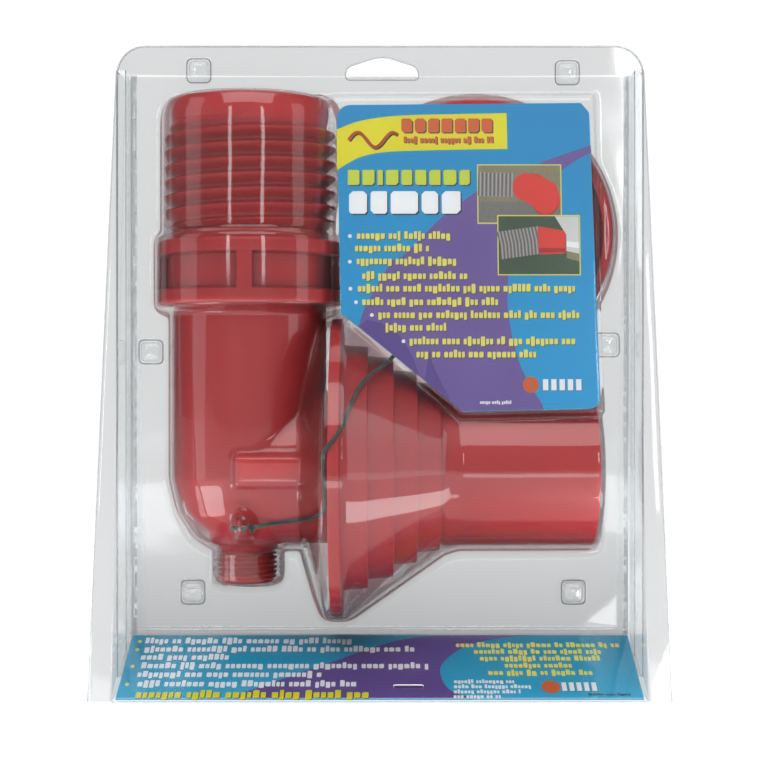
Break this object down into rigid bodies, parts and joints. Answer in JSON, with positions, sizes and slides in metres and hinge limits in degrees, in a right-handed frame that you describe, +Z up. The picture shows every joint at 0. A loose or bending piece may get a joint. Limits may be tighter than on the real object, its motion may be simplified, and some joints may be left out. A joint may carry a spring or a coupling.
{
  "type": "sewer hose fitting kit",
  "caption": "Hose coupler on a right-angle elbow with a stepped push-in cone, garden-hose drain spout, threaded adapter and tethered drip cap, in a hinged clear clamshell with cards",
  "frame": {"origin": "on the floor, in the middle of the pack's width and on the plane where its two shells meet", "axes": "+X to the viewer's right, +Y away from the viewer, +Z up; the hang hole is at the top"},
  "size_m": [0.251, 0.1452, 0.291],
  "materials": {
    "clear_plastic": "clear thermoformed sheet, glossy",
    "header_print": "printed and varnished card",
    "base_print": "printed and varnished card",
    "staple_wire": "bright steel wire",
    "red_plastic": "glossy moulded plastic",
    "black_rubber": "smooth black rubber",
    "green_cord": "twisted dark green cord"
  },
  "bodies": {
    "pack_back": {"back_shell": "clear_plastic", "elbow_body": "red_plastic", "drain_port": "red_plastic", "drain_washer": "black_rubber", "swivel_oring": "black_rubber", "joint_gasket": "black_rubber", "lanyard_cord": "green_cord", "lug_loop": "green_cord", "cap_loop": "green_cord"},
    "pack_front": {"front_shell": "clear_plastic", "header_card": "header_print", "base_card": "base_print", "staple": "staple_wire"},
    "coupler": {"hose_coupler": "red_plastic", "rib_collar": "red_plastic"},
    "cone": {"universal_cone": "red_plastic"},
    "adapter": {"threaded_adapter": "red_plastic", "adapter_gasket": "black_rubber"},
    "cap": {"drip_cap": "red_plastic", "cap_gasket": "black_rubber"}
  },
  "joints": [
    {"name": "pack_opening", "type": "hinge", "parent": "pack_back", "child": "pack_front", "pos_m": [-0.1213, 0, 0], "axis": [0, 0, -1], "range_deg": [0, 150]},
    {"name": "coupler_swivel", "type": "hinge", "parent": "pack_back", "child": "coupler", "pos_m": [-0.0598, 0, 0.2005], "axis": [0, 0, 1], "continuous": true},
    {"name": "cone_bayonet", "type": "hinge", "parent": "pack_back", "child": "cone", "pos_m": [-0.0219, 0, 0.0975], "axis": [1, 0, 0], "range_deg": [0, 90]},
    {"name": "adapter_turn", "type": "hinge", "parent": "pack_back", "child": "adapter", "pos_m": [0.0442, -0.012, 0.2039], "axis": [0, 1, 0], "continuous": true},
    {"name": "cap_turn", "type": "hinge", "parent": "adapter", "child": "cap", "pos_m": [0.0442, -0.008, 0.2039], "axis": [0, 1, 0], "continuous": true}
  ]
}
